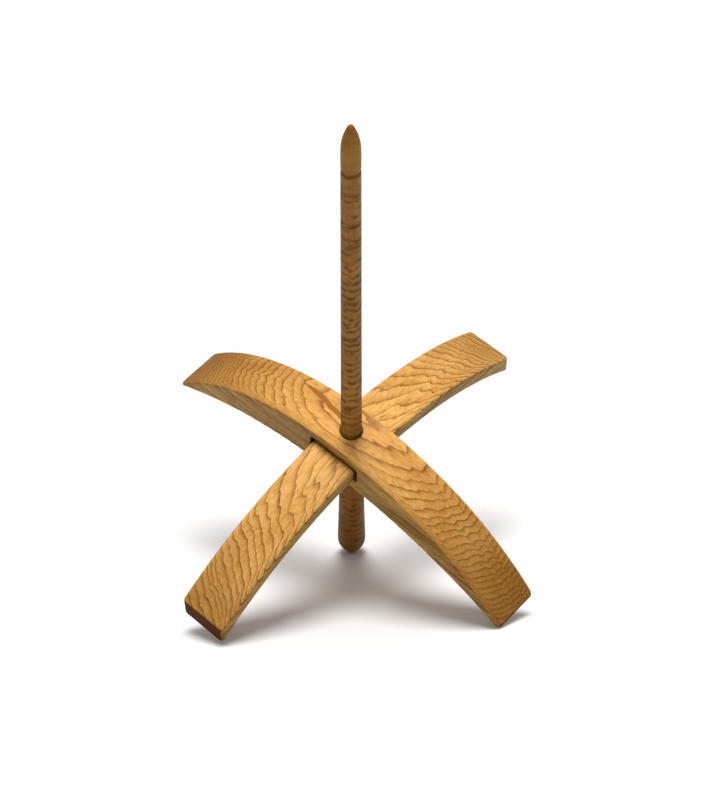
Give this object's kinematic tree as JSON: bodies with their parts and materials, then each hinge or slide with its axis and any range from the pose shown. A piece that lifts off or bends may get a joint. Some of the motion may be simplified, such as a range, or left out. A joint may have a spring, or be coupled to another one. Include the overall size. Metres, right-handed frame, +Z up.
{
  "type": "drop spindle",
  "caption": "Turkish drop spindle: a slim turned shaft with a thick round butt, carrying two bowed cross arms, one passing through a slot in the other.",
  "frame": {"origin": "on the table, under the middle of the bounding box of the spindle at rest", "axes": "+Z is up from the table; the shaft leans 36.1 degrees from +Z towards -Y, which is the front; the outer arm's front tip is on the +X side and the inner arm's on the -X side"},
  "size_m": [0.11, 0.1502, 0.1774],
  "materials": {
    "shaft_wood": "satin",
    "outer_arm_wood": "satin",
    "inner_arm_wood": "satin"
  },
  "bodies": {
    "shaft": {"shaft": "shaft_wood"},
    "outer_arm": {"outer_arm": "outer_arm_wood"},
    "inner_arm": {"inner_arm": "inner_arm_wood"}
  },
  "joints": [
    {"name": "arms_slide_off_shaft", "type": "slide", "parent": "shaft", "child": "outer_arm", "axis": [0, -0.5887, 0.8084], "range_m": [0, 0.165]},
    {"name": "inner_arm_swivel", "type": "hinge", "parent": "outer_arm", "child": "inner_arm", "pos_m": [0, 0.01517, 0.05373], "axis": [0, -0.5887, 0.8084], "range_deg": [-4.5, 4.5]}
  ]
}
